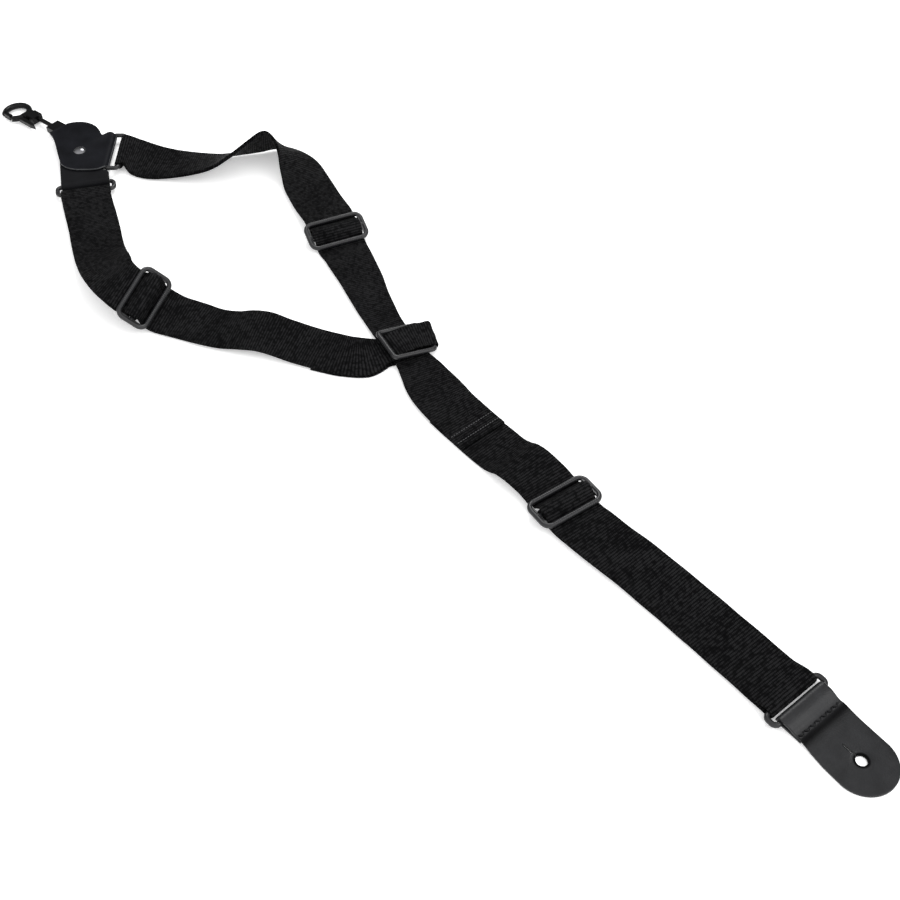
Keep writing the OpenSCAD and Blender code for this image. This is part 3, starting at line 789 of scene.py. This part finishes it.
def row_places(at, x, z, count, pitch, slants, offset=0.0):
    """A row of stitches across the strap; their slants take turns."""
    up = turn(at, (0, 0, 1))
    out = []
    for k in range(count):
        a = math.radians(slants[k % len(slants)])
        out.append((local(at, (x, (k - (count - 1) / 2) * pitch + offset, z)),
                    turn(at, (math.sin(a), math.cos(a), 0)), up))
    return out


tab_thread = stitches("thread_tab", row_places(
    (END[0], END[1], 0, 0), END_OFF + 16, 0.15, 14, 3.1, (38, -38), 0.6), 3.6, 0.95, THREAD)
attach(tab_thread, "tab")
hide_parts("seam_tab")

seam_places = []
for s in (0, 1):
    at = ((690 + 9 * s, 40.9 - 0.7 * s, 3 + WEB_T / 2 + 0.1), -4, 0, 0)
    seam_places += row_places(at, 0, 0, 17, 2.8, (0,))
tail_thread = stitches("thread_tail", seam_places, 2.0, 0.75, THREAD_PALE)
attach(tail_thread, "strap")
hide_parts("seam_tail")


# ---------- ribbed grips on the slides' outer bars ----------
def grips(name, at, length, wide, bar, corner):
    """Thin raised collars along both outer bars of a slide."""
    verts, faces = [], []
    sides, r = 20, bar / 2
    half = length / 2 - bar / 2 - corner
    count = int(half * 2 // 1.9)
    shape = [(-0.5, 0.0), (-0.3, 0.17), (0.3, 0.17), (0.5, 0.0)]
    for side in (-1, 1):
        for k in range(count + 1):
            y0 = -half + 2 * half * k / count
            base = len(verts)
            for dy, dr in shape:
                for j in range(sides):
                    a = 2 * math.pi * j / sides
                    q = r - 0.02 + dr
                    verts.append(metres(local(at, (side * wide + q * math.cos(a), y0 + dy,
                                                   q * math.sin(a)))))
            for s in range(len(shape) - 1):
                for j in range(sides):
                    a, b = base + s * sides + j, base + s * sides + (j + 1) % sides
                    faces.append((a, b, b + sides, a + sides))
            last = (len(shape) - 1) * sides
            for j in range(sides):
                a, b = base + last + j, base + last + (j + 1) % sides
                faces.append((a, b, base + (j + 1) % sides, base + j))
    obj = mesh_object(name, verts, faces, PLASTIC)
    outward(obj)
    return obj


for name, at, body in (("grips_upper", UPPER, "upper_slide"), ("grips_side", SIDE, "side_slide"),
                       ("grips_tail", TAIL, "tail_slide")):
    piece = grips(name, at, SLIDE_LEN, PITCH, SLIDE_BAR, SLIDE_CORNER)
    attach(piece, body)

# ---------- the carried-over hard pieces ----------
finish = {
    "ring_right": PLASTIC, "ring_lower": PLASTIC, "joint_ring": PLASTIC, "end_ring": PLASTIC,
    "slide_upper": PLASTIC, "slide_side": PLASTIC, "slide_tail": PLASTIC,
    "hook_body": HOOK_PLASTIC, "hook_gate": HOOK_PLASTIC, "swivel_post": HOOK_PLASTIC,
    "swivel_base": HOOK_PLASTIC, "hub_rivet": RIVET_PAINT, "rivet_cap": RIVET_PAINT,
    "gate_pin": STEEL, "gate_spring": STEEL,
}
for node, material in finish.items():
    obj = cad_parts[node]
    if len(obj.material_slots) == 0:
        obj.data.materials.append(material)
    for s in obj.material_slots:
        s.link = "OBJECT"
        s.material = material
for node in ("hook_body", "hook_gate", "swivel_base"):
    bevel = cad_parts[node].modifiers.new("soft edges", "BEVEL")
    bevel.width = 0.0008
    bevel.segments = 3
    bevel.limit_method = "ANGLE"
    bevel.angle_limit = math.radians(50)

# ---------- floor and light ----------
bpy.ops.mesh.primitive_plane_add(size=40, location=(0, 0, -0.0004))
floor = bpy.context.object
floor.name = "floor"
m, tree, shader = nodes_of("floor")
shader.inputs["Base Color"].default_value = (0.93, 0.93, 0.93, 1)
shader.inputs["Roughness"].default_value = 0.9
shader.inputs["Specular IOR Level"].default_value = 0.1
shader.inputs["Emission Color"].default_value = (1, 1, 1, 1)
shader.inputs["Emission Strength"].default_value = 0.3
floor.data.materials.append(m)

world = bpy.data.worlds.new("world")
bpy.context.scene.world = world
world.use_nodes = True
# a sky that is bright overhead and in front of the strap, and dark behind it
sky = world.node_tree
direction = sky.nodes.new("ShaderNodeTexCoord").outputs["Generated"]
facing = sky.nodes.new("ShaderNodeVectorMath")
facing.operation = "DOT_PRODUCT"
sky.links.new(direction, facing.inputs[0])
facing.inputs[1].default_value = (0.6, -0.58, 0.55)
bright = sky.nodes.new("ShaderNodeMapRange")
bright.inputs["From Min"].default_value = -0.35
bright.inputs["From Max"].default_value = 0.75
bright.inputs["To Min"].default_value = 0.16
bright.inputs["To Max"].default_value = 1.5
sky.links.new(facing.outputs["Value"], bright.inputs["Value"])
sky.nodes["Background"].inputs[0].default_value = (1, 1, 1, 1)
sky.links.new(bright.outputs[0], sky.nodes["Background"].inputs[1])


def area_light(name, place, aim, size, power):
    data = bpy.data.lights.new(name, "AREA")
    data.size = size
    data.energy = power
    obj = bpy.data.objects.new(name, data)
    bpy.context.scene.collection.objects.link(obj)
    obj.location = place
    obj.rotation_euler = (Vector(aim) - Vector(place)).to_track_quat("-Z", "Y").to_euler()


area_light("key", (-0.9, 1.1, 1.7), (0, 0, 0), 0.9, 26)
area_light("fill", (1.6, 0.6, 1.4), (0.1, 0, 0), 1.2, 12)
bpy.context.scene.view_settings.view_transform = "Standard"
